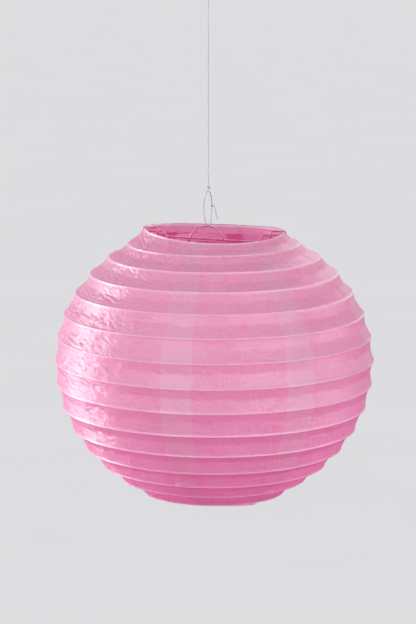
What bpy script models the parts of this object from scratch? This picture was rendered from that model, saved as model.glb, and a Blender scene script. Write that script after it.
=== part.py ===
"""A round paper lantern on a nylon line.

Eight tissue-paper gores cover thirteen wire rings and a rim wire at each end. A sprung wire
expander hooks onto the top rim and holds the globe open, and a nylon line is tied round the
expander's arch. Metres, +Z up. The origin is the inside top of the line's upper loop, where a
ceiling hook goes. +X is to the right along the expander's crossbar, and -Y is the front.
"""

import math

import bmesh
import bpy
from mathutils import Vector

COLLECTION = "paper_lantern"
GAP = 0.0003  # left between pieces that touch

# The paper globe: half an ellipse above the equator and a slightly deeper half below it.
GLOBE_X = 0.0064  # the globe hangs a little to the right of its line
EQUATOR_Z = -0.430
GLOBE_RADIUS = 0.175
UPPER_HEIGHT = 0.154
LOWER_HEIGHT = 0.160
PAPER_THICKNESS = 0.0003
GORE_COUNT = 8
OVERLAP_ANGLE = math.radians(11.25)
FIRST_OVERLAP = math.radians(-13.5)  # azimuth of the middle of one overlap, from -Y towards +X
GORE_COLUMNS = 5
HEM_GAP = 0.0030  # from a rim wire's centre to the paper's edge

# The wire rings inside the paper, spaced along the profile from the top rim.
RIB_COUNT = 13
FIRST_GAP = 0.0206
RIB_PITCH = 0.0264
RIB_WIRE = 0.0010
RIB_SEGMENTS = 32

# The rim wires. The expander's hooks pull the top one up at its sides, the left side more.
RIM_RADIUS = 0.0756
RIM_WIRE = 0.0020
RIM_SEGMENTS = 64
TOP_BOW = 0.0044
TOP_TILT = 0.0022
BOTTOM_BOW = 0.0015

# The expander, bent from one gauge of wire. Heights are above the globe's equator.
WIRE = 0.0020
BEND = 0.0030
BAR_Y = 0.0023
LEG_Y = -0.0003
BAR_LEFT = (-0.0511, 0.1368)
BAR_RIGHT = (0.0477, 0.1310)
LEG_TOP_X = 0.0615
LEG_TOP_DROP = 0.0100  # from the hook's upper arm down to where the leg starts to flex
LEG_BOW_X = 0.0710
KNEE_X = 0.0731
ARCH_X = -0.0086
ARCH_RADIUS = 0.0194
ARCH_CENTRE_Z = 0.1295
ARCH_END = math.radians(4)

# The nylon line and its loops and knots.
LINE = 0.0009
KNOT_RADIUS = 0.0016
TOP_KNOT_Z = -0.0300
LOWER_KNOT_Z = -0.2383
LOOP_HALF_WIDTH = 0.0050


def clear_scene():
    for obj in list(bpy.data.objects):
        bpy.data.objects.remove(obj, do_unlink=True)


def new_collection(name):
    made = bpy.data.collections.new(name)
    bpy.context.scene.collection.children.link(made)
    return made


def material(name, colour, roughness, metallic=0.0):
    made = bpy.data.materials.new(name)
    made.use_nodes = True
    shader = made.node_tree.nodes["Principled BSDF"]
    shader.inputs["Base Color"].default_value = (*colour, 1.0)
    shader.inputs["Roughness"].default_value = roughness
    shader.inputs["Metallic"].default_value = metallic
    made.diffuse_color = (*colour, 1.0)
    return made


def add_object(name, data, look, collection, location=(0, 0, 0)):
    obj = bpy.data.objects.new(name, data)
    obj.location = location
    data.materials.append(look)
    collection.objects.link(obj)
    return obj


def wire(name, points, diameter, look, collection, location=(0, 0, 0), closed=False, resolution=2):
    """A round wire along the points, which are relative to the location."""
    curve = bpy.data.curves.new(name, "CURVE")
    curve.dimensions = "3D"
    curve.bevel_depth = diameter / 2
    curve.bevel_resolution = resolution
    curve.use_fill_caps = not closed
    spline = curve.splines.new("POLY")
    spline.points.add(len(points) - 1)
    for target, point in zip(spline.points, points):
        target.co = (*point, 1.0)
    spline.use_cyclic_u = closed
    return add_object(name, curve, look, collection, location)


def smooth_path(points, steps, closed=False):
    """Points along a smooth curve that passes through the given ones."""
    points = [Vector(p) for p in points]
    count = len(points)
    path = []
    for i in range(count if closed else count - 1):
        if closed:
            a, b, c, d = (points[(i + k) % count] for k in (-1, 0, 1, 2))
        else:
            b, c = points[i], points[i + 1]
            a = points[i - 1] if i else 2 * b - c
            d = points[i + 2] if i + 2 < count else 2 * c - b
        for step in range(steps):
            t = step / steps
            bend = 2 * a - 5 * b + 4 * c - d
            twist = 3 * b - a - 3 * c + d
            path.append((2 * b + (c - a) * t + bend * t * t + twist * t * t * t) / 2)
    if not closed:
        path.append(points[-1])
    return path


def rounded_path(points, radius, steps=3):
    """The straight runs between the points, with each corner rounded to an arc."""
    points = [Vector(p) for p in points]
    path = [points[0]]
    for before, corner, after in zip(points, points[1:], points[2:]):
        back = (before - corner).normalized()
        on = (after - corner).normalized()
        half = back.angle(on) / 2
        reach = min(radius / math.tan(half), 0.45 * (before - corner).length, 0.45 * (after - corner).length)
        start, end = corner + back * reach, corner + on * reach
        centre = corner + (back + on).normalized() * reach / math.cos(half)
        arm_a, arm_b = start - centre, end - centre
        sweep = arm_a.angle(arm_b)
        for step in range(steps + 1):
            t = step / steps
            path.append(
                centre
                + (arm_a * math.sin((1 - t) * sweep) + arm_b * math.sin(t * sweep)) / math.sin(sweep)
            )
    path.append(points[-1])
    return path


def ring_points(radius, segments, height=lambda azimuth: 0.0):
    """A closed ring about Z. Azimuth runs from -Y towards +X."""
    start = FIRST_OVERLAP + OVERLAP_ANGLE / 2
    azimuths = [start + 2 * math.pi * i / segments for i in range(segments)]
    return [(radius * math.sin(a), -radius * math.cos(a), height(a)) for a in azimuths]


def profile(angle, offset=0.0):
    """Radius and height of the globe at an angle above the equator, moved out by the offset."""
    semi_height = UPPER_HEIGHT if angle > 0 else LOWER_HEIGHT
    normal = Vector((semi_height * math.cos(angle), GLOBE_RADIUS * math.sin(angle))).normalized()
    radius = GLOBE_RADIUS * math.cos(angle) + offset * normal.x
    return radius, semi_height * math.sin(angle) + offset * normal.y


def angle_along(distance):
    """The profile angle at a distance along the paper, measured down from the top rim."""
    angle = math.acos(RIM_RADIUS / GLOBE_RADIUS)
    step = math.radians(0.02)
    travelled = 0.0
    here = Vector(profile(angle))
    while travelled < distance:
        angle -= step
        there = Vector(profile(angle))
        travelled += (there - here).length
        here = there
    return angle


def rib_angles():
    return [angle_along(FIRST_GAP + RIB_PITCH * i) for i in range(RIB_COUNT)]


def top_rim_height(azimuth):
    return TOP_BOW * math.sin(azimuth) ** 2 - TOP_TILT * math.sin(azimuth)


def bottom_rim_height(azimuth):
    return -BOTTOM_BOW * math.sin(azimuth) ** 2


def rim_levels():
    """Heights of the top and bottom rims above the equator."""
    angle = math.acos(RIM_RADIUS / GLOBE_RADIUS)
    return profile(angle)[1], profile(-angle)[1]


def build_ribs(globe, look, collection):
    inset = -(PAPER_THICKNESS / 2 + GAP + RIB_WIRE / 2)
    for number, angle in enumerate(rib_angles(), 1):
        radius, height = profile(angle, inset)
        place = globe + Vector((0, 0, height))
        points = ring_points(radius, RIB_SEGMENTS)
        wire(f"rib_ring_{number:02d}", points, RIB_WIRE, look, collection, place, closed=True, resolution=1)


def build_rims(globe, look, collection):
    top, bottom = rim_levels()
    for name, level, height in (
        ("top_rim_wire", top, top_rim_height),
        ("bottom_rim_wire", bottom, bottom_rim_height),
    ):
        points = ring_points(RIM_RADIUS, RIM_SEGMENTS, height)
        wire(name, points, RIM_WIRE, look, collection, globe + Vector((0, 0, level)), closed=True)


def gore_rows(offset):
    """Rows down one gore: radius, height, and how far each follows the bow of each rim."""
    rim = math.acos(RIM_RADIUS / GLOBE_RADIUS)
    hem = HEM_GAP / GLOBE_RADIUS
    rows = [(*profile(rim - hem, offset), 1.0, 0.0)]
    rows += [(*profile(angle, offset), 0.0, 0.0) for angle in rib_angles()]
    rows.append((*profile(-rim + hem, offset), 0.0, 1.0))
    return rows


def build_gore(name, first_azimuth, offset, globe, look, collection):
    """One strip of paper from rim to rim, flat between neighbouring rings."""
    mesh = bpy.data.meshes.new(name)
    bm = bmesh.new()
    grid = []
    for radius, height, top_share, bottom_share in gore_rows(offset):
        row = []
        for column in range(GORE_COLUMNS + 1):
            azimuth = first_azimuth + column * OVERLAP_ANGLE
            bow = top_share * top_rim_height(azimuth) + bottom_share * bottom_rim_height(azimuth)
            row.append(bm.verts.new((radius * math.sin(azimuth), -radius * math.cos(azimuth), height + bow)))
        grid.append(row)
    for upper, lower in zip(grid, grid[1:]):
        for i in range(GORE_COLUMNS):
            bm.faces.new((upper[i], lower[i], lower[i + 1], upper[i + 1]))
    bm.to_mesh(mesh)
    bm.free()
    mesh.shade_smooth()
    gore = add_object(name, mesh, look, collection, globe)
    shell = gore.modifiers.new("paper", "SOLIDIFY")
    shell.thickness = PAPER_THICKNESS
    shell.offset = 0.0
    return gore


def hook_cutter(side, globe, cutters):
    """The slit in the paper through which a hook reaches round the top rim."""
    bpy.ops.mesh.primitive_cube_add(size=1)
    cutter = bpy.context.active_object
    cutter.name = "hook_slit_right" if side > 0 else "hook_slit_left"
    slit_start, slit_end, slit_width, slit_height = 0.070, 0.0835, 0.012, 0.030
    cutter.scale = (slit_end - slit_start, slit_width, slit_height)
    level = rim_levels()[0]
    cutter.location = globe + Vector((side * (slit_start + slit_end) / 2, 0, level))
    cutter.hide_render = True
    cutter.display_type = "WIRE"
    for home in list(cutter.users_collection):
        home.objects.unlink(cutter)
    cutters.objects.link(cutter)
    return cutter


def build_paper(globe, look, collection, cutters):
    """Alternate gores lie on top, so both edges of a top one cover its neighbours' edges."""
    slits = {side: hook_cutter(side, globe, cutters) for side in (-1, 1)}
    width = 2 * math.pi / GORE_COUNT
    layer = PAPER_THICKNESS + 1.2 * GAP
    for number in range(GORE_COUNT):
        first = FIRST_OVERLAP - OVERLAP_ANGLE / 2 + number * width
        offset = layer if number % 2 == 0 else 0.0
        gore = build_gore(f"paper_gore_{number + 1}", first, offset, globe, look, collection)
        for side, slit in slits.items():
            middle = first + (width + OVERLAP_ANGLE) / 2
            if math.cos(middle - side * math.pi / 2) > math.cos(width / 2):
                cut = gore.modifiers.new("hook slit", "BOOLEAN")
                cut.operation = "DIFFERENCE"
                cut.object = slit


def hook_path(side, rim_level):
    """From the leg's top, over the top rim, round it and back in below it to the crossbar."""
    rim_z = rim_level + top_rim_height(side * math.pi / 2)
    clear = (RIM_WIRE + WIRE) / 2 + GAP
    leg_x = side * LEG_TOP_X
    path = rounded_path(
        [
            (leg_x, LEG_Y, rim_z + clear - LEG_TOP_DROP),
            (leg_x, LEG_Y, rim_z + clear),
            (side * RIM_RADIUS, LEG_Y, rim_z + clear),
        ],
        BEND,
    )[:-1]
    turns = 8
    for step in range(turns + 1):
        share = step / turns
        angle = math.pi * (0.5 - share)
        x = side * (RIM_RADIUS + clear * math.cos(angle))
        path.append(Vector((x, LEG_Y + (BAR_Y - LEG_Y) * share, rim_z + clear * math.sin(angle))))
    return path, rim_z - clear


def crossbar_path():
    top = rim_levels()[0]
    left, left_arm = hook_path(-1, top)
    right, right_arm = hook_path(1, top)
    shoulder = 0.006  # the lower arm starts this far outside the end of the bar
    bar = [
        (BAR_LEFT[0] - 3 * shoulder, BAR_Y, left_arm),
        (BAR_LEFT[0] - shoulder, BAR_Y, left_arm),
        (BAR_LEFT[0], BAR_Y, BAR_LEFT[1]),
        (BAR_RIGHT[0], BAR_Y, BAR_RIGHT[1]),
        (BAR_RIGHT[0] + shoulder, BAR_Y, right_arm),
        (BAR_RIGHT[0] + 3 * shoulder, BAR_Y, right_arm),
    ]
    return left + rounded_path(bar, BEND) + right[::-1]


def leg_path(side, top_z, knee_z):
    """Relative to the leg's top: down inside the shell to a knee that bears on the bottom rim."""
    reach = knee_z - top_z
    route = [
        (LEG_TOP_X, 0.0),
        (LEG_TOP_X + 0.0020, 0.08),
        (LEG_TOP_X + 0.0055, 0.25),
        (LEG_BOW_X - 0.0012, 0.50),
        (LEG_BOW_X, 0.75),
        (LEG_BOW_X - 0.0006, 0.95),
        (KNEE_X, 1.0),
        (KNEE_X - 0.0035, 1.012),
    ]
    points = [(side * (x - LEG_TOP_X), 0, reach * share) for x, share in route]
    points[0] = (0, 0, -GAP)
    return smooth_path(points, 4)


def build_expander(globe, look, collection):
    wire("expander_crossbar", crossbar_path(), WIRE, look, collection, globe)
    top, bottom = rim_levels()
    hook_clear = (RIM_WIRE + WIRE) / 2 + GAP
    for side, name in ((-1, "expander_leg_left"), (1, "expander_leg_right")):
        azimuth = side * math.pi / 2
        top_z = top + top_rim_height(azimuth) + hook_clear - LEG_TOP_DROP
        knee_z = bottom + bottom_rim_height(azimuth) + WIRE
        place = globe + Vector((side * LEG_TOP_X, LEG_Y, top_z))
        wire(name, leg_path(side, top_z, knee_z), WIRE, look, collection, place)
    arch = []
    steps = 20
    for step in range(steps + 1):
        angle = math.pi - (math.pi - ARCH_END) * step / steps
        arch.append((ARCH_RADIUS * math.cos(angle), 0, ARCH_RADIUS * math.sin(angle)))
    place = globe + Vector((ARCH_X, 0, ARCH_CENTRE_Z))
    wire("expander_arch", arch, WIRE, look, collection, place)


def build_knot(name, location, look, collection):
    mesh = bpy.data.meshes.new(name)
    bm = bmesh.new()
    bmesh.ops.create_uvsphere(bm, u_segments=12, v_segments=8, radius=KNOT_RADIUS)
    bm.to_mesh(mesh)
    bm.free()
    mesh.shade_smooth()
    return add_object(name, mesh, look, collection, location)


def teardrop(height, half_width, point_down):
    """A loop in the XZ plane, with its narrow end at the origin."""
    end = 0.0009  # half the width of the narrow end
    outline = [
        (0, 0.0),
        (end, 0.05),
        (2.3 * end, 0.18),
        (half_width * 0.9, 0.55),
        (half_width, 0.75),
        (half_width * 0.75, 0.93),
        (0, 1.0),
    ]
    flip = 1 if point_down else -1
    right = [(x, 0, flip * height * share) for x, share in outline]
    left = [(-x, 0, z) for x, _, z in right[-2:0:-1]]
    return smooth_path(right + left, 3, closed=True)


def lower_loop_route(arch_axis_z):
    """From the lower knot down behind the arch, round under its wire and up in front of it."""
    beside = (WIRE + LINE) / 2 + 1.5 * GAP
    apex = LOWER_KNOT_Z - KNOT_RADIUS - GAP - LINE / 2
    tall = apex - (arch_axis_z - beside)
    route = [
        (0, 0, apex),
        (-0.0010, 0.0002, apex - 0.04 * tall),
        (-0.0036, 0.0008, apex - 0.20 * tall),
        (-LOOP_HALF_WIDTH, 0.0014, apex - 0.45 * tall),
        (-0.0042, beside, apex - 0.75 * tall),
    ]
    turns = 6
    for step in range(turns + 1):
        angle = math.pi * step / turns
        x = -0.0014 + 0.0034 * step / turns
        route.append((x, beside * math.cos(angle), arch_axis_z - beside * math.sin(angle)))
    route += [
        (0.0030, -beside, apex - 0.75 * tall),
        (0.0038, -0.0012, apex - 0.42 * tall),
        (0.0030, -0.0006, apex - 0.20 * tall),
        (0.0010, -0.0002, apex - 0.04 * tall),
    ]
    return route


def build_line(globe, look, collection):
    """The upper loop and knot, the taut line, and the lower loop with its knots and cut end."""
    upper_start = TOP_KNOT_Z + KNOT_RADIUS + GAP + LINE / 2
    loop = teardrop(LINE / 2 - upper_start, LOOP_HALF_WIDTH, point_down=True)
    wire("top_loop", loop, LINE, look, collection, (0, 0, upper_start), closed=True)
    build_knot("top_knot", (0, 0, TOP_KNOT_Z), look, collection)

    start = TOP_KNOT_Z - KNOT_RADIUS - GAP
    end = LOWER_KNOT_Z + KNOT_RADIUS + GAP
    pieces = 24
    straight = [(0, 0, (end - start) * i / pieces) for i in range(pieces + 1)]
    wire("hanging_line", straight, LINE, look, collection, (0, 0, start))
    build_knot("lower_knot", (0, 0, LOWER_KNOT_Z), look, collection)

    route = lower_loop_route(globe.z + ARCH_CENTRE_Z + ARCH_RADIUS)
    wire("lower_loop", smooth_path(route, 4, closed=True), LINE, look, collection, closed=True)

    strand = Vector(route[-3])
    wrap = LINE + GAP
    collar = [
        (wrap * math.cos(math.tau * i / 12), wrap * math.sin(math.tau * i / 12), 0) for i in range(12)
    ]
    tie = wire("tie_knot", collar, LINE, look, collection, strand, closed=True, resolution=1)
    tie.rotation_euler = (0, math.radians(4), 0)
    tail_start = strand + Vector((wrap + LINE / 2 + GAP + LINE / 2, 0, 0))
    tail = [(0, 0, 0), (0.0012, -0.0004, -0.0045), (0.0026, -0.0004, -0.0100), (0.0042, 0, -0.0160)]
    wire("cut_tail", smooth_path(tail, 4), LINE, look, collection, tail_start)


def main():
    clear_scene()
    collection = new_collection(COLLECTION)
    cutters = new_collection("cutters")
    paper = material("pink_tissue_paper", (0.86, 0.28, 0.50), 0.55)
    steel = material("rib_wire_steel", (0.60, 0.58, 0.58), 0.45, 1.0)
    frame_wire = material("expander_wire_steel", (0.70, 0.68, 0.68), 0.35, 1.0)
    nylon = material("clear_nylon", (0.85, 0.86, 0.88), 0.25)
    globe = Vector((GLOBE_X, 0, EQUATOR_Z))
    build_ribs(globe, steel, collection)
    build_rims(globe, steel, collection)
    build_paper(globe, paper, collection, cutters)
    build_expander(globe, frame_wire, collection)
    build_line(globe, nylon, collection)


main()
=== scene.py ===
"""The looks of a round pink tissue-paper lantern that hangs on a nylon line in a plain studio.

Rings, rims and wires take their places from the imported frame. Azimuth runs round the globe's axis from the
front, -Y, towards +X. Metres, +Z up.
"""

import math

import bpy
import numpy as np
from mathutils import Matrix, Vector


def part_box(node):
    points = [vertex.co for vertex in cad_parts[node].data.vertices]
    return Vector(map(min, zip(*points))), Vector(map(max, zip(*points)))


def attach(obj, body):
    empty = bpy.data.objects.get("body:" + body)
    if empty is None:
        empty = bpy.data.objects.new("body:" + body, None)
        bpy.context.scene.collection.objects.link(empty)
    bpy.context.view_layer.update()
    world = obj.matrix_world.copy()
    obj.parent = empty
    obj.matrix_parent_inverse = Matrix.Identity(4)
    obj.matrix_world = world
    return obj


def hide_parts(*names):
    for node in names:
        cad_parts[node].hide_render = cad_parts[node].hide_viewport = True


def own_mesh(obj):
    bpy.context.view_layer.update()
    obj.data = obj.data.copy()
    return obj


RIB_COUNT = 13
GORE_COUNT = 8
GORE_WIDTH = math.tau / GORE_COUNT
OVERLAP_ANGLE = math.radians(11.25)
FIRST_OVERLAP = math.radians(-13.5)  # azimuth of the middle of one overlap
EQUATOR_Z = -0.430  # height of the globe's widest part

# The camera looks down on the globe from the front. Its axis passes a little above the globe's centre.
CAMERA_DISTANCE = 2.70
CAMERA_ELEVATION = math.radians(11)
CAMERA_X = -0.0005
AXIS_ABOVE_CENTRE = math.radians(1.12)
LENS_MM = 141.1
SENSOR_MM = 36

# The studio.
FLOOR_Z = -2.60
FLOOR_RADIUS = 90.0
FLOOR_GLOW = 0.52  # the floor's own light, which keeps it pale and doesn't reach the lantern
# The studio's own light, from straight below, 0, to straight above, 1: a bright horizon, a dim
# ceiling and, in place of the floor's bounce, a rosy light that deepens the shade of the underside.
SKY = (
    (0.41, (0.60, 0.12, 0.36)),
    (0.46, (0.72, 0.72, 0.74)),
    (0.55, (0.72, 0.72, 0.74)),
    (0.62, (0.30, 0.30, 0.32)),
)
WHITE = (1.0, 1.0, 1.0)
# The soft lights: name, azimuth and elevation in degrees, distance, width, height, watts and colour.
# All are white but the weak pink one overhead.
LIGHTS = (
    ("key", -30, 18, 2.4, 2.2, 2.0, 20, WHITE),
    ("fill", 36, 14, 2.6, 2.2, 2.0, 24, WHITE),
    ("side", 92, -6, 2.4, 1.6, 1.6, 12, WHITE),
    ("gloss", -108, -2, 1.8, 0.8, 2.2, 40, WHITE),
    ("back", 168, 26, 2.6, 1.8, 1.4, 18, WHITE),
    ("top", 0, 78, 2.4, 2.0, 2.0, 6, (1.0, 0.5, 0.8)),
)

# Steel, with the pink that it takes on inside the paper painted into its colour.
RIB_COLOUR = (0.84, 0.46, 0.60)
EXPANDER_COLOUR = (0.92, 0.34, 0.54)

# The paper.
FOLD_DEPTH = 0.0026  # how far the paper folds in between two ribs
FOLD_PLACE = 0.42  # where the fold runs, as a share of the way down from one rib to the next
WIRE_RIDGE = 0.00085  # how far the paper stands up over a rib wire
RIDGE_WIDTH = 0.0012  # of that ridge, and of the paler line along it, a painted highlight where the paper is stuck to the wire
CLEAR_OF_WIRE = 0.00030
LAYER = 0.00025  # between two layers of paper
GORE_COLUMNS = 160
ROW_SPACING = 0.0012
EDGE_WANDER = math.radians(0.45)  # how far a gore's edge strays from straight
PLEAT_COUNT = 230  # little upright pleats, round the whole globe
# The places where an edge has come unglued: the gore, its starting or ending edge, and the ring
# just above which that edge is loose.
LIFTED = ((0, 0, 12), (0, 1, 13))
LIFT = 0.0034  # how far it stands away
LIFT_WIDTH = 0.018  # how far in from the edge
LIFT_ABOVE_RING = 0.0024  # where it stands away most
LIFT_SPREAD = 0.0019
OVERLAP_BLUR = math.radians(0.3)  # over which the painted light that makes two overlapping layers paler starts
DOUBLE_AT_ENDS = 0.15  # how much of that look is left at the globe's ends
DOUBLE_REACH = 0.12  # and how far from the middle it fades
HEM_OUTSIDE = 0.0085  # how far the folded hem reaches down under the paper
HEM_INSIDE = 0.0080  # and how far it hangs inside the opening
HEM_COLUMNS = 360
HEM_UNDER = 0.00018  # how far the hem lies under the gores
HEM_TUCK = 0.00010  # and how much tighter than the paper it turns round the rim
HOOK_SLIT = 0.0034  # half the width of the slits that the expander's hooks pass through
HOOK_REACH = 0.0062  # how far out from the rim the slits go
RIM_ZONE = 0.12  # above the equator, where the paper is near the top rim

RING_SEGMENTS = 160  # in each round rib and rim

# The expander, bent from one gauge of wire. Heights are above the globe's equator.
WIRE = 0.0020
BEND = 0.0030
GAP = 0.0003
BAR_Y = 0.0023
LEG_Y = -0.0003
BAR_LEFT = (-0.0511, 0.1368)
BAR_RIGHT = (0.0477, 0.1310)
LEG_TOP_X = 0.0615
LEG_TOP_DROP = 0.0100
LEG_BOW_X = 0.0710
KNEE_X = 0.0731
ARCH_X = -0.0086
ARCH_RADIUS = 0.0194
ARCH_CENTRE_Z = 0.1295
ARCH_END = math.radians(4)

# The nylon line.
LINE = 0.0009
KNOT_RADIUS = 0.0016
LOWER_KNOT_Z = -0.2383
LOOP_HALF_WIDTH = 0.0050

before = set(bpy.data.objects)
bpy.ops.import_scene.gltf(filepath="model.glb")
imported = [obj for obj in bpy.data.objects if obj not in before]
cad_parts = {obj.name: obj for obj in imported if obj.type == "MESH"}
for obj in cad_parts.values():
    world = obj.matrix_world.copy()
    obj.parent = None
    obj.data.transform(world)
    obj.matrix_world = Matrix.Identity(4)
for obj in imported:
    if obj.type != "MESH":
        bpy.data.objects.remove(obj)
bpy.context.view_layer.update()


# ---------------------------------------------------------------- places, read from the frame


def vertices(node):
    """The places of a node's vertices, one row each."""
    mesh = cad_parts[node].data
    points = np.zeros(len(mesh.vertices) * 3)
    mesh.vertices.foreach_get("co", points)
    return points.reshape(-1, 3)


def middle(node):
    """The centre of a node's box."""
    low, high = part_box(node)
    return (low + high) / 2


AXIS_X = middle("rib_ring_07").x


def ring_size(node):
    """Radius and height of a ring's centreline, and its wire's diameter."""
    points = vertices(node)
    reach = np.hypot(points[:, 0] - AXIS_X, points[:, 1])
    height = (points[:, 2].min() + points[:, 2].max()) / 2
    return (reach.min() + reach.max()) / 2, height, reach.max() - reach.min()


def waves(azimuth):
    """The level, tilt and bow that a rim wire can have, at each azimuth."""
    a = np.asarray(azimuth)
    return np.stack([np.ones_like(a), np.sin(a), np.cos(a), np.sin(2 * a), np.cos(2 * a)], axis=-1)


def ring_height(node):
    """A function from azimuth to the height of a rim's centreline, fitted to the rim's surface."""
    points = vertices(node)
    azimuth = np.arctan2(points[:, 0] - AXIS_X, -points[:, 1])
    shares = np.linalg.lstsq(waves(azimuth), points[:, 2], rcond=None)[0]
    return lambda a: waves(np.asarray(a, dtype=float)) @ shares


RIM_NODES = ("top_rim_wire", "bottom_rim_wire")
RING_NODES = [RIM_NODES[0], *(f"rib_ring_{i + 1:02d}" for i in range(RIB_COUNT)), RIM_NODES[1]]
RINGS = [ring_size(node) for node in RING_NODES]
RIM_HEIGHTS = [ring_height(node) for node in RIM_NODES]
RIM_RADIUS, RIM_WIRE = RINGS[0][0], RINGS[0][2]


def flat_height(height):
    """The same height at every azimuth."""
    return lambda azimuth: np.full(np.shape(azimuth), height)


HEIGHTS = [RIM_HEIGHTS[0], *(flat_height(ring[1]) for ring in RINGS[1:-1]), RIM_HEIGHTS[1]]
GLOBE_RADIUS = max(ring[0] for ring in RINGS)


# ---------------------------------------------------------------- materials


class Look:
    """A node material with a Principled shader, and short ways to add to it."""

    def __init__(self, name):
        self.material = bpy.data.materials.new(name)
        self.material.use_nodes = True
        self.nodes = self.material.node_tree.nodes
        self.links = self.material.node_tree.links
        self.shader = self.nodes["Principled BSDF"]
        self.output = self.nodes["Material Output"]

    def set(self, **values):
        for name, value in values.items():
            self.shader.inputs[name.replace("_", " ")].default_value = value

    def node(self, kind, **values):
        made = self.nodes.new(kind)
        for name, value in values.items():
            setattr(made, name, value)
        return made

    def link(self, source, target):
        self.links.new(source, target)

    def place(self, uv=None, size=(1, 1, 1), turn=0.0):
        """Coordinates from the named UV map, or else the object's own, in units of size, turned first."""
        if uv:
            coordinates = self.node("ShaderNodeUVMap", uv_map=uv).outputs["UV"]
        else:
            coordinates = self.node("ShaderNodeTexCoord").outputs["Object"]
        mapping = self.node("ShaderNodeMapping", vector_type="TEXTURE")
        mapping.inputs["Scale"].default_value = size
        mapping.inputs["Rotation"].default_value = (0, 0, turn)
        self.link(coordinates, mapping.inputs["Vector"])
        return mapping.outputs["Vector"]

    def attribute(self, name):
        return self.node("ShaderNodeAttribute", attribute_name=name).outputs["Fac"]

    def math(self, operation, first, second):
        """Each of the two is a socket or a number."""
        made = self.node("ShaderNodeMath", operation=operation)
        for target, value in zip(made.inputs, (first, second)):
            if isinstance(value, (int, float)):
                target.default_value = value
            else:
                self.link(value, target)
        return made.outputs["Value"]

    def ridges(self, noise):
        """0 to 1, with sharp crests where the noise passes through its middle."""
        away = self.math("ABSOLUTE", self.math("SUBTRACT", noise, 0.5), 0.0)
        return self.math("SUBTRACT", 1.0, self.math("MULTIPLY", away, 2.0))

    def mix(self, share, under, over):
        """A colour socket, covered by a colour in that share."""
        made = self.node("ShaderNodeMix", data_type="RGBA")
        self.link(share, made.inputs["Factor"])
        self.link(under, made.inputs["A"])
        made.inputs["B"].default_value = (*over, 1)
        return made.outputs["Result"]

    def noise(self, vector, scale, detail=3.0, roughness=0.55, distortion=0.0):
        made = self.node("ShaderNodeTexNoise")
        made.inputs["Scale"].default_value = scale
        made.inputs["Detail"].default_value = detail
        made.inputs["Roughness"].default_value = roughness
        made.inputs["Distortion"].default_value = distortion
        self.link(vector, made.inputs["Vector"])
        return made.outputs["Fac"]

    def grain(self, across, down, detail=3.0, roughness=0.55, distortion=0.0, turn=0.0):
        """Noise over the paper, in cells of that size in metres."""
        return self.noise(self.place("paper", (across, down, 1), turn), 1.0, detail, roughness, distortion)

    def ramp(self, value, *stops):
        made = self.node("ShaderNodeValToRGB")
        elements = made.color_ramp.elements
        while len(elements) < len(stops):
            elements.new(0.5)
        for element, (position, colour) in zip(elements, stops):
            element.position = position
            element.color = (*colour, 1) if len(colour) == 3 else colour
        self.link(value, made.inputs["Fac"])
        return made.outputs["Color"]

    def spread(self, value, low, high):
        """A value from 0 to 1 spread from low to high."""
        made = self.node("ShaderNodeMapRange")
        made.inputs["To Min"].default_value = low
        made.inputs["To Max"].default_value = high
        self.link(value, made.inputs["Value"])
        return made.outputs["Result"]

    def bump(self, height, distance, strength=1.0, under=None):
        made = self.node("ShaderNodeBump")
        made.inputs["Distance"].default_value = distance
        made.inputs["Strength"].default_value = strength
        self.link(height, made.inputs["Height"])
        if under:
            self.link(under, made.inputs["Normal"])
        return made.outputs["Normal"]


def tissue_paper():
    """Thin dyed tissue with a satin face, and a deeper pink where light comes through it.

    The mesh says where it lies in two layers or on a wire, and where its crinkles are strongest.
    Both first places are painted paler: painted light over two layers, and a painted highlight along each
    wire.
    """
    look = Look("pink_tissue_paper")
    mottle = look.noise(look.place("paper"), 26.0, 5.0, 0.6)
    colour = look.ramp(mottle, (0.30, (0.89, 0.32, 0.57)), (0.70, (0.91, 0.40, 0.63)))
    look.link(look.spread(mottle, 0.28, 0.42), look.shader.inputs["Roughness"])
    look.set(IOR=1.68, Specular_IOR_Level=0.85)

    clouds = look.ramp(look.grain(0.050, 0.030), (0.40, (0, 0, 0)), (0.70, (1, 1, 1)))
    colour = look.mix(look.spread(clouds, 0.0, 0.20), colour, (0.93, 0.64, 0.80))
    upright = look.grain(0.0015, 0.0100, 2.0)
    level = look.grain(0.0130, 0.0017, 3.0, 0.6, 0.3)
    threads = look.math("ADD", upright, level)
    streak = look.ramp(threads, (0.80, (0, 0, 0)), (1.0, (1, 1, 1)))
    colour = look.mix(look.spread(streak, 0.0, 0.52), colour, (0.93, 0.72, 0.84))

    # Painted light: paler patches where two layers overlap, standing in for the extra light and sheen that
    # two layers send back.
    patches = look.spread(look.grain(0.020, 0.034, 2.0), 0.20, 0.90)
    colour = look.mix(look.math("MULTIPLY", look.attribute("overlap_painted_light"), patches), colour, (0.94, 0.76, 0.89))
    # A painted highlight: a paler, broken line along each wire and rim. There the paper also lets less light
    # through.
    glued_and_highlight = look.attribute("glued_and_highlight")
    highlight_breakup = look.spread(look.grain(0.030, 0.012, 2.0), 0.0, 0.55)
    colour = look.mix(look.math("MULTIPLY", glued_and_highlight, highlight_breakup), colour, (0.94, 0.66, 0.80))
    look.link(colour, look.shader.inputs["Base Color"])

    slanting = look.ridges(look.grain(0.016, 0.0045, 1.5, 0.5, 0.5, turn=0.45))
    creases = look.math("MULTIPLY", slanting, look.attribute("crumple"))
    normal = look.bump(threads, 0.00009, under=look.bump(creases, 0.0007))
    look.link(normal, look.shader.inputs["Normal"])

    through = look.node("ShaderNodeBsdfTranslucent")
    through.inputs["Color"].default_value = (0.94, 0.34, 0.60, 1)
    look.link(normal, through.inputs["Normal"])
    both = look.node("ShaderNodeMixShader")
    look.link(look.spread(glued_and_highlight, 0.40, 0.14), both.inputs["Fac"])
    look.link(look.shader.outputs["BSDF"], both.inputs[1])
    look.link(through.outputs["BSDF"], both.inputs[2])
    look.link(both.outputs["Shader"], look.output.inputs["Surface"])
    return look.material


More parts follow.
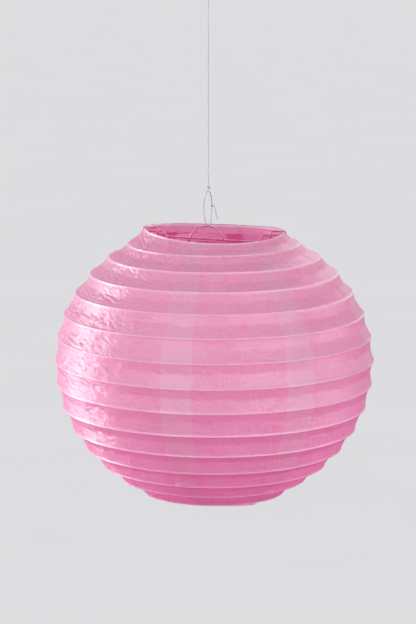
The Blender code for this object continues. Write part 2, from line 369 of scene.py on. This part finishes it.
def drawn_wire(name, colour, roughness):
    """Drawn metal wire of that colour, with fine die lines and a few dull patches."""
    look = Look(name)
    patches = look.noise(look.place(), 180.0, 4.0, 0.6)
    look.link(
        look.ramp(patches, (0.35, tuple(0.72 * c for c in colour)), (0.65, colour)),
        look.shader.inputs["Base Color"],
    )
    look.link(look.spread(patches, roughness - 0.08, roughness + 0.12), look.shader.inputs["Roughness"])
    lines = look.noise(look.place(), 2600.0, 2.0)
    look.link(look.bump(lines, 0.00003), look.shader.inputs["Normal"])
    look.set(Metallic=1.0)
    return look.material


def clear_nylon():
    """Monofilament: clear, a little milky, with faint scuffs."""
    look = Look("clear_nylon")
    scuffs = look.noise(look.place(), 700.0, 3.0)
    look.link(look.ramp(scuffs, (0.3, (0.48, 0.50, 0.52)), (0.7, (0.66, 0.67, 0.70))),
              look.shader.inputs["Base Color"])
    look.link(look.spread(scuffs, 0.12, 0.26), look.shader.inputs["Roughness"])
    look.link(look.bump(scuffs, 0.00002), look.shader.inputs["Normal"])
    look.set(IOR=1.53, Transmission_Weight=0.35)
    return look.material


def studio_floor():
    look = Look("studio_floor")
    patches = look.noise(look.place(), 1.2, 4.0)
    look.link(look.ramp(patches, (0.3, (0.58, 0.58, 0.59)), (0.7, (0.62, 0.62, 0.63))),
              look.shader.inputs["Base Color"])
    look.set(Roughness=0.85, Emission_Color=(1, 1, 1, 1), Emission_Strength=FLOOR_GLOW)
    return look.material


# ---------------------------------------------------------------- curves and meshes


def wire(name, points, diameter, look, closed=False, location=(0, 0, 0)):
    """A round wire along the points."""
    curve = bpy.data.curves.new(name, "CURVE")
    curve.dimensions = "3D"
    curve.bevel_depth = diameter / 2
    curve.bevel_resolution = 4
    curve.use_fill_caps = not closed
    spline = curve.splines.new("POLY")
    spline.points.add(len(points) - 1)
    for target, point in zip(spline.points, points):
        target.co = (*point, 1.0)
    spline.use_cyclic_u = closed
    spline.use_smooth = True
    curve.materials.append(look)
    obj = bpy.data.objects.new(name, curve)
    obj.location = location
    bpy.context.scene.collection.objects.link(obj)
    return obj


def smooth_path(points, steps, closed=False):
    """Points along a smooth curve that passes through the given ones."""
    points = [Vector(p) for p in points]
    count = len(points)
    path = []
    for i in range(count if closed else count - 1):
        if closed:
            a, b, c, d = (points[(i + k) % count] for k in (-1, 0, 1, 2))
        else:
            b, c = points[i], points[i + 1]
            a = points[i - 1] if i else 2 * b - c
            d = points[i + 2] if i + 2 < count else 2 * c - b
        for step in range(steps):
            t = step / steps
            bend = 2 * a - 5 * b + 4 * c - d
            twist = 3 * b - a - 3 * c + d
            path.append((2 * b + (c - a) * t + bend * t * t + twist * t * t * t) / 2)
    if not closed:
        path.append(points[-1])
    return path


def rounded_path(points, radius, steps=8):
    """The straight runs between the points, with each corner rounded to an arc."""
    points = [Vector(p) for p in points]
    path = [points[0]]
    for before, corner, after in zip(points, points[1:], points[2:]):
        back = (before - corner).normalized()
        on = (after - corner).normalized()
        half = back.angle(on) / 2
        reach = min(radius / math.tan(half), 0.45 * (before - corner).length, 0.45 * (after - corner).length)
        start, end = corner + back * reach, corner + on * reach
        centre = corner + (back + on).normalized() * reach / math.cos(half)
        arm_a, arm_b = start - centre, end - centre
        sweep = arm_a.angle(arm_b)
        for step in range(steps + 1):
            t = step / steps
            path.append(
                centre
                + (arm_a * math.sin((1 - t) * sweep) + arm_b * math.sin(t * sweep)) / math.sin(sweep)
            )
    path.append(points[-1])
    return path


def grid_mesh(name, points, look, closed=False, uv=None, keep=None, values=None):
    """A sheet through a grid of points, rows by columns.

    keep says which faces stay, from their centres. values holds the sheet's attributes, one amount per point.
    """
    rows, columns = points.shape[:2]
    across = columns if closed else columns - 1
    row, column = (part.ravel() for part in np.indices((rows - 1, across)))
    beside = (column + 1) % columns
    above, below = row * columns, (row + 1) * columns
    corners = np.stack([above + column, below + column, below + beside, above + beside], axis=1)
    if keep is not None:
        corners = corners[keep(points.reshape(-1, 3)[corners].mean(1))]
    mesh = bpy.data.meshes.new(name)
    mesh.from_pydata(points.reshape(-1, 3).tolist(), [], corners.tolist())
    if uv is not None:
        layer = mesh.uv_layers.new(name="paper")
        places = uv.reshape(-1, 2)[corners.ravel()]
        if closed:  # the last face of each row ends one turn on, not back at the start
            whole = places.reshape(-1, 4, 2)
            back = whole[:, 2:, 0] < whole[:, :2, 0].min(1, keepdims=True) - GLOBE_RADIUS
            whole[:, 2:, 0] += np.where(back, math.tau * GLOBE_RADIUS, 0)
        layer.data.foreach_set("uv", places.ravel())
    for attribute, amounts in (values or {}).items():
        mesh.attributes.new(attribute, "FLOAT", "POINT").data.foreach_set("value", amounts.ravel())
    mesh.shade_smooth()
    mesh.materials.append(look)
    mesh.validate()
    obj = bpy.data.objects.new(name, mesh)
    bpy.context.scene.collection.objects.link(obj)
    return obj


# ---------------------------------------------------------------- studio


def build_camera():
    centre = Vector((CAMERA_X, 0, EQUATOR_Z))
    data = bpy.data.cameras.new("camera")
    data.lens = LENS_MM
    data.sensor_width = SENSOR_MM
    data.clip_end = 200
    camera = bpy.data.objects.new("camera", data)
    camera.location = centre + CAMERA_DISTANCE * Vector(
        (0, -math.cos(CAMERA_ELEVATION), math.sin(CAMERA_ELEVATION)))
    camera.rotation_euler = (math.pi / 2 - CAMERA_ELEVATION + AXIS_ABOVE_CENTRE, 0, 0)
    bpy.context.scene.collection.objects.link(camera)
    bpy.context.scene.camera = camera


def soft_light(name, azimuth, elevation, distance, width, height, power, colour):
    """A rectangular light that faces the globe, from an azimuth and an elevation in degrees."""
    data = bpy.data.lights.new(name, "AREA")
    data.shape = "RECTANGLE"
    data.size, data.size_y = width, height
    data.energy = power
    data.color = colour
    a, e = math.radians(azimuth), math.radians(elevation)
    away = Vector((math.sin(a) * math.cos(e), -math.cos(a) * math.cos(e), math.sin(e)))
    light = bpy.data.objects.new(name, data)
    light.location = Vector((AXIS_X, 0, EQUATOR_Z)) + distance * away
    light.rotation_euler = away.to_track_quat("Z", "Y").to_euler()
    bpy.context.scene.collection.objects.link(light)


def build_studio():
    floor = grid_mesh(
        "floor",
        np.array([[(FLOOR_RADIUS * x, FLOOR_RADIUS * y, FLOOR_Z) for x in (-1, 1)] for y in (1, -1)]),
        studio_floor(),
    )
    # The floor shows, but the world's light reaches the lantern from below as if it weren't there.
    floor.visible_diffuse = floor.visible_glossy = floor.visible_transmission = False
    world = bpy.data.worlds.new("studio")
    world.use_nodes = True
    nodes, links = world.node_tree.nodes, world.node_tree.links
    place = nodes.new("ShaderNodeTexCoord")
    split = nodes.new("ShaderNodeSeparateXYZ")
    shade = nodes.new("ShaderNodeValToRGB")
    stops = shade.color_ramp.elements
    while len(stops) < len(SKY):
        stops.new(0.5)
    for stop, (position, colour) in zip(stops, SKY):
        stop.position, stop.color = position, (*colour, 1)
    shift = nodes.new("ShaderNodeMapRange")
    shift.inputs["From Min"].default_value = -1
    links.new(place.outputs["Generated"], split.inputs["Vector"])
    links.new(split.outputs["Z"], shift.inputs["Value"])
    links.new(shift.outputs["Result"], shade.inputs["Fac"])
    links.new(shade.outputs["Color"], nodes["Background"].inputs["Color"])
    bpy.context.scene.world = world
    for light in LIGHTS:
        soft_light(*light)
    bpy.context.scene.view_settings.view_transform = "Standard"


# ---------------------------------------------------------------- the nylon line


def lower_loop_route(arch_axis_z):
    """From the lower knot down behind the arch, round under its wire and up in front of it."""
    beside = (WIRE + LINE) / 2 + 1.5 * GAP
    apex = LOWER_KNOT_Z - KNOT_RADIUS - GAP - LINE / 2
    tall = apex - (arch_axis_z - beside)
    route = [
        (0, 0, apex),
        (-0.0010, 0.0002, apex - 0.04 * tall),
        (-0.0036, 0.0008, apex - 0.20 * tall),
        (-LOOP_HALF_WIDTH, 0.0014, apex - 0.45 * tall),
        (-0.0042, beside, apex - 0.75 * tall),
    ]
    turns = 6
    for step in range(turns + 1):
        angle = math.pi * step / turns
        x = -0.0014 + 0.0034 * step / turns
        route.append((x, beside * math.cos(angle), arch_axis_z - beside * math.sin(angle)))
    route += [
        (0.0030, -beside, apex - 0.75 * tall),
        (0.0038, -0.0012, apex - 0.42 * tall),
        (0.0030, -0.0006, apex - 0.20 * tall),
        (0.0010, -0.0002, apex - 0.04 * tall),
    ]
    return route


def wraps(path, radius, turns, steps=12):
    """A helix of that radius round a path."""
    path = [Vector(p) for p in path]
    count = turns * steps
    coil = []
    for i in range(count + 1):
        share = i / count * (len(path) - 1)
        k = min(int(share), len(path) - 2)
        centre = path[k].lerp(path[k + 1], share - k)
        along = (path[k + 1] - path[k]).normalized()
        side = along.cross(Vector((0, 1, 0))).normalized()
        front = along.cross(side)
        angle = math.tau * i / steps
        coil.append(centre + radius * (side * math.cos(angle) + front * math.sin(angle)))
    return coil


def build_knot(name, node, body, look):
    """Three tight turns of the line round itself, with the strand that locks them."""
    centre = middle(node)
    half = 0.0011
    coil = wraps([centre + Vector((0, 0, half)), centre - Vector((0, 0, half))], 0.00088, 3)
    lock = [
        centre + Vector(offset)
        for offset in ((-0.0004, -0.0006, 0.0016), (0.0006, -0.0014, 0.0006), (0.0013, -0.0009, -0.0006),
                       (0.0010, 0.0002, -0.0014), (0.0022, 0.0004, -0.0010))
    ]
    knot = wire(name, coil, LINE, look)
    strand = wire(f"{name}_strand", smooth_path(lock, 6), LINE, look)
    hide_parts(node)
    for piece in (knot, strand):
        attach(piece, body)
    return [knot, strand]


def teardrop(height, half_width):
    """An open loop in the XZ plane, with its narrow end at the origin and its point down."""
    end = 0.0009
    outline = [
        (end * 0.4, 0.0), (end, 0.05), (2.3 * end, 0.18), (half_width * 0.9, 0.55), (half_width, 0.75),
        (half_width * 0.75, 0.93), (0, 1.0),
    ]
    right = [(x, 0, height * share) for x, share in outline]
    left = [(-x, 0, z) for x, _, z in right[-2::-1]]
    return smooth_path(right + left, 8)


def build_line(look):
    """The taut line, the loop at each end of it and their knots, and the cut end."""
    lower = build_knot("lower_knot_wraps", "lower_knot", "lower_loop", look)
    upper = build_knot("top_knot_wraps", "top_knot", "top_knot", look)

    low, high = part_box("top_loop")
    top_loop = wire("top_loop_line", teardrop(high.z - low.z - LINE, LOOP_HALF_WIDTH), LINE, look,
                    location=(0, 0, low.z + LINE / 2))
    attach(top_loop, "ceiling_loop")
    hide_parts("top_loop")

    low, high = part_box("hanging_line")
    pieces = 24
    straight = [(0, 0, low.z + (high.z - low.z) * i / pieces) for i in range(pieces + 1)]
    line = wire("taut_line", straight, LINE, look)
    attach(line, "hanging_line")
    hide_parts("hanging_line")

    arch_top = EQUATOR_Z + ARCH_CENTRE_Z + ARCH_RADIUS
    route = [Vector(p) for p in lower_loop_route(arch_top)]
    path = smooth_path(route, 8)
    loop = wire("lower_loop_line", path, LINE, look)
    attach(loop, "lower_loop")
    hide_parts("lower_loop")

    strand = route[-3]
    half = Vector((-0.0001, 0, 0.0009))
    collar = wire("tie_knot_wraps", wraps([strand + half, strand - half], LINE, 2), LINE, look)
    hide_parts("tie_knot")
    doubled = wire("doubled_strand", wraps([route[-3], route[-2], route[-1]], 0.00075, 3), 0.0007, look)
    start = strand + Vector((LINE + GAP + LINE + GAP, 0, 0))
    tail_route = [(0, 0, 0), (0.0012, -0.0004, -0.0045), (0.0026, -0.0004, -0.0100), (0.0042, 0, -0.0160)]
    tail = wire("cut_end", [start + p for p in smooth_path(tail_route, 6)], LINE, look)
    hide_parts("cut_tail")
    for piece in (collar, doubled, tail):
        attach(piece, "lower_loop")


# ---------------------------------------------------------------- the wires


def build_rings(look):
    """The thirteen ribs and the two rims, as round rings."""
    for i, (node, (radius, _, gauge)) in enumerate(zip(RING_NODES, RINGS)):
        azimuths = [math.tau * k / RING_SEGMENTS for k in range(RING_SEGMENTS)]
        points = [
            (AXIS_X + radius * math.sin(a), -radius * math.cos(a), float(HEIGHTS[i](a))) for a in azimuths
        ]
        ring = wire(f"{node}_round", points, gauge, look, closed=True)
        body = {0: "lantern_top", len(RINGS) - 1: "bottom_rim"}.get(i, f"rib_{i:02d}")
        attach(ring, body)
        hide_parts(node)


def hook_path(side):
    """From the leg's top, over the top rim, round it and back in below it to the crossbar."""
    rim_z = float(RIM_HEIGHTS[0](side * math.pi / 2))
    clear = (RIM_WIRE + WIRE) / 2 + GAP
    leg_x = side * LEG_TOP_X
    path = rounded_path(
        [
            (leg_x, LEG_Y, rim_z + clear - LEG_TOP_DROP),
            (leg_x, LEG_Y, rim_z + clear),
            (side * RIM_RADIUS, LEG_Y, rim_z + clear),
        ],
        BEND,
    )[:-1]
    turns = 20
    for step in range(turns + 1):
        share = step / turns
        angle = math.pi * (0.5 - share)
        x = side * (RIM_RADIUS + clear * math.cos(angle))
        path.append(Vector((x, LEG_Y + (BAR_Y - LEG_Y) * share, rim_z + clear * math.sin(angle))))
    return path, rim_z - clear


def crossbar_path():
    left, left_arm = hook_path(-1)
    right, right_arm = hook_path(1)
    shoulder = 0.006
    bar = [
        (BAR_LEFT[0] - 3 * shoulder, BAR_Y, left_arm),
        (BAR_LEFT[0] - shoulder, BAR_Y, left_arm),
        (BAR_LEFT[0], BAR_Y, EQUATOR_Z + BAR_LEFT[1]),
        (BAR_RIGHT[0], BAR_Y, EQUATOR_Z + BAR_RIGHT[1]),
        (BAR_RIGHT[0] + shoulder, BAR_Y, right_arm),
        (BAR_RIGHT[0] + 3 * shoulder, BAR_Y, right_arm),
    ]
    return left + rounded_path(bar, BEND) + right[::-1]


def leg_path(side):
    """Down inside the shell to a knee that bears on the bottom rim."""
    azimuth = side * math.pi / 2
    top_z = float(RIM_HEIGHTS[0](azimuth)) + (RIM_WIRE + WIRE) / 2 + GAP - LEG_TOP_DROP
    reach = float(RIM_HEIGHTS[1](azimuth)) + WIRE - top_z
    route = [
        (LEG_TOP_X, 0.0),
        (LEG_TOP_X + 0.0020, 0.08),
        (LEG_TOP_X + 0.0055, 0.25),
        (LEG_BOW_X - 0.0012, 0.50),
        (LEG_BOW_X, 0.75),
        (LEG_BOW_X - 0.0006, 0.95),
        (KNEE_X, 1.0),
        (KNEE_X - 0.0035, 1.012),
    ]
    return smooth_path([(side * x, LEG_Y, top_z + reach * share) for x, share in route], 12)


def build_expander(look):
    on_axis = (AXIS_X, 0, 0)
    steps = 48
    arch = []
    for step in range(steps + 1):
        angle = math.pi - (math.pi - ARCH_END) * step / steps
        arch.append((ARCH_X + ARCH_RADIUS * math.cos(angle), 0,
                     EQUATOR_Z + ARCH_CENTRE_Z + ARCH_RADIUS * math.sin(angle)))
    for name, node, path, body in (
        ("crossbar", "expander_crossbar", crossbar_path(), "lantern_top"),
        ("arch", "expander_arch", arch, "lantern_top"),
        ("leg_wire_left", "expander_leg_left", leg_path(-1), "leg_left"),
        ("leg_wire_right", "expander_leg_right", leg_path(1), "leg_right"),
    ):
        piece = wire(name, path, WIRE, look, location=on_axis)
        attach(piece, body)
        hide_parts(node)


# ---------------------------------------------------------------- the paper


def ripple(x, y, columns, rows, seed):
    """Gradient noise from about -1 to 1, in cells that repeat after so many columns and rows."""
    heading = np.random.default_rng(seed).uniform(0, math.tau, (rows, columns))
    column, row = np.floor(x).astype(int), np.floor(y).astype(int)
    part_x, part_y = x - column, y - row
    ease_x, ease_y = (p * p * p * (p * (6 * p - 15) + 10) for p in (part_x, part_y))

    def corner(i, j):
        turn = heading[(row + j) % rows, (column + i) % columns]
        return np.cos(turn) * (part_x - i) + np.sin(turn) * (part_y - j)

    near = corner(0, 0) + ease_x * (corner(1, 0) - corner(0, 0))
    far = corner(0, 1) + ease_x * (corner(1, 1) - corner(0, 1))
    return 1.6 * (near + ease_y * (far - near))


def around(turns, count, down, rows, seed, shift=0.0):
    """Noise that closes on itself round the globe, with that many cells in a turn."""
    return ripple(turns * count + shift, down, count, rows, seed)


def smooth_step(value):
    """From 0 to 1 with level ends, as the value goes from 0 to 1."""
    value = np.clip(value, 0, 1)
    return value * value * (3 - 2 * value)


def bell(value, middle_value, width):
    """1 at the middle value, and about a third at the width away from it."""
    return np.exp(-(((value - middle_value) / width) ** 2))


def line_points():
    """Where the paper crosses each ring: radius, height and outward normal, in the profile's plane."""
    centres = np.array([(radius, height) for radius, height, _ in RINGS])
    ahead = np.vstack([centres[1:], 2 * centres[-1] - centres[-2]])
    behind = np.vstack([2 * centres[0] - centres[1], centres[:-1]])
    along = ahead - behind
    normals = np.stack([-along[:, 1], along[:, 0]], axis=1)
    normals /= np.linalg.norm(normals, axis=1, keepdims=True)
    stand_off = np.array([gauge / 2 + CLEAR_OF_WIRE for _, _, gauge in RINGS])
    return centres, normals, stand_off


CENTRES, NORMALS, STAND_OFF = line_points()
CELL_LENGTHS = np.linalg.norm(np.diff(CENTRES + NORMALS * STAND_OFF[:, None], axis=0), axis=1)
LINE_STARTS = np.concatenate([[0], np.cumsum(CELL_LENGTHS)])


def row_places():
    """Distances down the paper from the top rim, closer together beside the rings."""
    places = []
    close = np.array([0, 0.0005, 0.0010, 0.0017, 0.0026, 0.0040])
    for start, length in zip(LINE_STARTS, CELL_LENGTHS):
        between = round((length - 2 * close[-1]) / ROW_SPACING)
        inner = np.linspace(close[-1], length - close[-1], between + 1)[1:-1]
        places += [start + close, start + inner, start + length - close[:0:-1]]
    return np.concatenate([*places, [LINE_STARTS[-1]]])


def crumple(azimuth, height):
    """How crumpled the paper is: most on its left, some by the top rim, a little all over the rest."""
    left = bell(azimuth, math.radians(-60), math.radians(30))
    upper_left = left * bell(height, EQUATOR_Z + 0.015, 0.080)
    behind = smooth_step(np.abs(azimuth) - 1.4)
    by_rim = bell(height, RINGS[0][1] - 0.008, 0.014)
    return 0.22 + 0.30 * left + 0.85 * upper_left + 0.30 * behind + 0.35 * by_rim


def bellows(turns, cell, t, length):
    """How far out the paper stands between two rings: it folds in along a wavering line."""
    row, rows = cell + 0.5, 31
    place = FOLD_PLACE + 0.05 * around(turns, 52, row, rows, 11)
    place += 0.03 * around(turns, 150, row, rows, 12)
    soft = 0.24
    above, below = t / place, (1 - t) / (1 - place)
    blend = np.clip(0.5 + (below - above) / (2 * soft), 0, 1)
    tent = below * (1 - blend) + above * blend - soft * blend * (1 - blend)
    depth = FOLD_DEPTH * (length / CELL_LENGTHS.max())
    depth = depth * (1 + 0.28 * around(turns, 40, row, rows, 13))
    return -depth * np.clip(tent, 0, None)


def wrinkles(turns, down, t, amount):
    """How far out the paper's creases and pleats stand. turns is the azimuth as a share of a turn."""
    patch = smooth_step(0.5 + 0.8 * around(turns, 24, down / 0.045, 29, 21))
    warp = 0.7 * around(turns, 48, down / 0.020, 41, 22)
    slanting = around(turns, 42, down / 0.0052 - turns * 26 + 0.4 * warp, 26, 23, shift=0.5 * warp)
    crossing = around(turns, 70, down / 0.0046 + turns * 40 + 0.5 * warp, 40, 24)
    dimples = around(turns, 130, down / 0.0080, 52, 27)
    creases = 0.00165 * (0.30 - np.abs(slanting)) + 0.00080 * (0.30 - np.abs(crossing))
    creases += 0.00030 * dimples
    pleats = 0.30 - np.abs(around(turns, PLEAT_COUNT, down / 0.019 + 0.4 * warp, 37, 25))
    out = amount * (0.50 + 0.50 * patch) * creases
    out += 0.00030 * smooth_step((t - 0.25) / 0.3) * (0.4 + patch) * pleats
    return out + 0.00007 * around(turns, 320, down / 0.0024, 173, 26)


def paper_points(azimuth, down, layer):
    """Points of the paper at azimuths and distances down it, on an inner or outer layer. The arrays match."""
    cell = np.clip(np.searchsorted(LINE_STARTS, down, side="right") - 1, 0, len(CELL_LENGTHS) - 1)
    length = CELL_LENGTHS[cell]
    from_top = down - LINE_STARTS[cell]
    t = from_top / length
    beside = np.minimum(from_top, length - from_top)

    heights = np.stack([height(azimuth) for height in HEIGHTS])
    pick = np.indices(azimuth.shape)
    upper_z, lower_z = heights[(cell, *pick)], heights[(cell + 1, *pick)]
    normal = NORMALS[cell] * (1 - t)[..., None] + NORMALS[cell + 1] * t[..., None]
    normal /= np.linalg.norm(normal, axis=-1, keepdims=True)
    off = STAND_OFF[cell] * (1 - t) + STAND_OFF[cell + 1] * t
    radius = CENTRES[cell, 0] * (1 - t) + CENTRES[cell + 1, 0] * t
    height = upper_z * (1 - t) + lower_z * t

    turns = azimuth / math.tau
    out = bellows(turns, cell, t, length) + WIRE_RIDGE * np.exp(-((beside / RIDGE_WIDTH) ** 2))
    out += smooth_step(beside / 0.0040) * wrinkles(turns, down, t, crumple(azimuth, height))
    reach = off + out + layer
    radius = radius + reach * normal[..., 0]
    height = height + reach * normal[..., 1]
    return np.stack([AXIS_X + radius * np.sin(azimuth), -radius * np.cos(azimuth), height], axis=-1)


def gore_edge(number, ending, down):
    """Azimuth of a gore's starting or ending edge, which wanders a little from cell to cell."""
    row = np.full_like(down, 2 * (number % GORE_COUNT) + ending + 0.5)
    wander = EDGE_WANDER * ripple(down / 0.023, row, 61, 2 * GORE_COUNT, 41)
    start = FIRST_OVERLAP - OVERLAP_ANGLE / 2 + (number + ending) * GORE_WIDTH
    return start + ending * OVERLAP_ANGLE + wander


def clear_of_hooks(centres):
    """False in the slits through which the expander's hooks reach round the top rim."""
    reach = np.hypot(centres[:, 0] - AXIS_X, centres[:, 1])
    near_rim = (reach < RIM_RADIUS + HOOK_REACH) & (centres[:, 2] > EQUATOR_Z + RIM_ZONE)
    return ~(near_rim & (np.abs(centres[:, 1] - (BAR_Y + LEG_Y) / 2) < HOOK_SLIT))


def loose_edges(number, azimuth, down):
    """How far a gore's corners stand away where they have come unglued, just above a ring."""
    lift = np.zeros_like(azimuth)
    for gore, ending, ring in LIFTED:
        if gore == number:
            away = np.abs(azimuth - gore_edge(number, ending, down[:, 0])[:, None]) * RINGS[ring][0]
            above = LINE_STARTS[ring] - down
            near_edge = np.clip(1 - away / LIFT_WIDTH, 0, 1) ** 1.5
            lift += LIFT * near_edge * bell(above, LIFT_ABOVE_RING, LIFT_SPREAD)
    return lift


def build_gores(look):
    """Eight strips of tissue from rim to rim. Alternate ones lie on top of their neighbours' edges."""
    down = row_places()
    share = np.linspace(0, 1, GORE_COLUMNS + 1)
    for number in range(GORE_COUNT):
        start, end = (gore_edge(number, ending, down)[:, None] for ending in (0, 1))
        azimuth = start + share * (end - start)
        places = np.tile(down[:, None], (1, len(share)))
        under = gore_edge(number - 1, 1, down)[:, None] - azimuth
        over = azimuth - gore_edge(number + 1, 0, down)[:, None]
        # Painted light: where the gore overlaps a neighbour its paper is painted paler, most near the equator
        # and less towards both ends.
        overlap_painted_light = smooth_step(0.5 + np.maximum(under, over) / OVERLAP_BLUR)
        near_middle = bell(places, LINE_STARTS[-1] / 2, DOUBLE_REACH)
        overlap_painted_light *= DOUBLE_AT_ENDS + (1 - DOUBLE_AT_ENDS) * near_middle
        uv = np.stack([azimuth * GLOBE_RADIUS, places], axis=-1)
        layer = loose_edges(number, azimuth, places) + (LAYER if number % 2 == 0 else 0.0)
        azimuth = (azimuth + math.pi) % math.tau - math.pi
        points = paper_points(azimuth, places, layer)
        from_ring = np.abs(places[..., None] - LINE_STARTS).min(-1)
        values = {
            "overlap_painted_light": overlap_painted_light,
            "crumple": crumple(azimuth, points[..., 2]),
            # A painted highlight along each ring, where the paper is also less translucent.
            "glued_and_highlight": bell(from_ring, 0.0, RIDGE_WIDTH),
        }
        gore = grid_mesh(
            f"tissue_gore_{number + 1}", points, look, uv=uv, keep=clear_of_hooks, values=values)
        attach(gore, "lantern_top")
        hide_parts(f"paper_gore_{number + 1}")
        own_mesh(gore)


def front_drop(azimuth):
    """How far the bottom hem of the front gore hangs below the rim: more towards its right end."""
    first = FIRST_OVERLAP - OVERLAP_ANGLE / 2
    last = first + math.tau / GORE_COUNT + OVERLAP_ANGLE
    share = (azimuth - first) / (last - first)
    inside = smooth_step(share / 0.15) * smooth_step((1 - share) / 0.03)
    return inside * (0.0005 + 0.0026 * np.clip(share, 0, 1) ** 1.5)


def build_hem(name, top, look):
    """The paper's end, folded round a rim wire. Its outer part lies under the gores."""
    azimuth = np.linspace(-math.pi, math.pi, HEM_COLUMNS, endpoint=False)
    side = 1 if top else -1
    end = 0.0 if top else LINE_STARTS[-1]
    under = end + side * np.linspace(HEM_OUTSIDE, 0.0, 10)
    grid_azimuth, grid_down = np.meshgrid(azimuth, under)
    rows = [*paper_points(grid_azimuth, grid_down, -HEM_UNDER)]
    normal = NORMALS[0 if top else -1]
    start = abs(math.atan2(normal[1], normal[0]))
    level = RIM_HEIGHTS[0 if top else 1](azimuth)
    drop = np.zeros_like(azimuth) if top else front_drop(azimuth)
    turn_radius = RIM_WIRE / 2 + CLEAR_OF_WIRE - HEM_TUCK

    def ring_row(radius, rise):
        return np.stack([AXIS_X + radius * np.sin(azimuth), -radius * np.cos(azimuth), level + rise], axis=-1)

    bend_steps = 12
    for step in range(bend_steps + 1):
        angle = start + (math.pi - start) * step / bend_steps
        low = smooth_step((angle - start) / 0.5) * smooth_step((math.pi - angle) / 0.5)
        rise = side * (turn_radius * math.sin(angle) + drop * low)
        rows.append(ring_row(RIM_RADIUS + turn_radius * math.cos(angle), rise))
    hang_steps = 8
    turns = azimuth / math.tau
    for step in range(1, hang_steps + 1):
        share = step / hang_steps
        loose = share * (0.0010 + 0.0007 * around(turns, 36, np.full_like(turns, share), 7, 31))
        ragged = HEM_INSIDE * (1 + 0.10 * around(turns, 22, np.full_like(turns, 0.5), 7, 32))
        rows.append(ring_row(RIM_RADIUS - turn_radius - 0.2 * loose, -side * share * ragged))
    points = np.stack(rows)
    along = np.linalg.norm(np.diff(points, axis=0), axis=-1).mean(1)
    uv = np.stack(
        [np.tile(azimuth * GLOBE_RADIUS, (len(rows), 1)),
         np.tile((1.0 + np.concatenate([[0], np.cumsum(along)]))[:, None], (1, len(azimuth)))], axis=-1)
    row = np.arange(len(rows))
    on_wire = (row >= len(under)) & (row <= len(under) + bend_steps)
    # A painted highlight on the rows that turn round the rim wire, which also let less light through.
    values = {"glued_and_highlight": np.repeat(on_wire.astype(float), len(azimuth))}
    hem = grid_mesh(name, points, look, closed=True, uv=uv, keep=clear_of_hooks, values=values)
    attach(hem, "lantern_top" if top else "bottom_rim")


def main():
    build_camera()
    nylon = clear_nylon()
    build_line(nylon)
    build_studio()
    build_rings(drawn_wire("rib_wire_steel", RIB_COLOUR, 0.42))
    build_expander(drawn_wire("expander_wire_steel", EXPANDER_COLOUR, 0.20))
    paper = tissue_paper()
    build_gores(paper)
    build_hem("top_hem", True, paper)
    build_hem("bottom_hem", False, paper)


main()
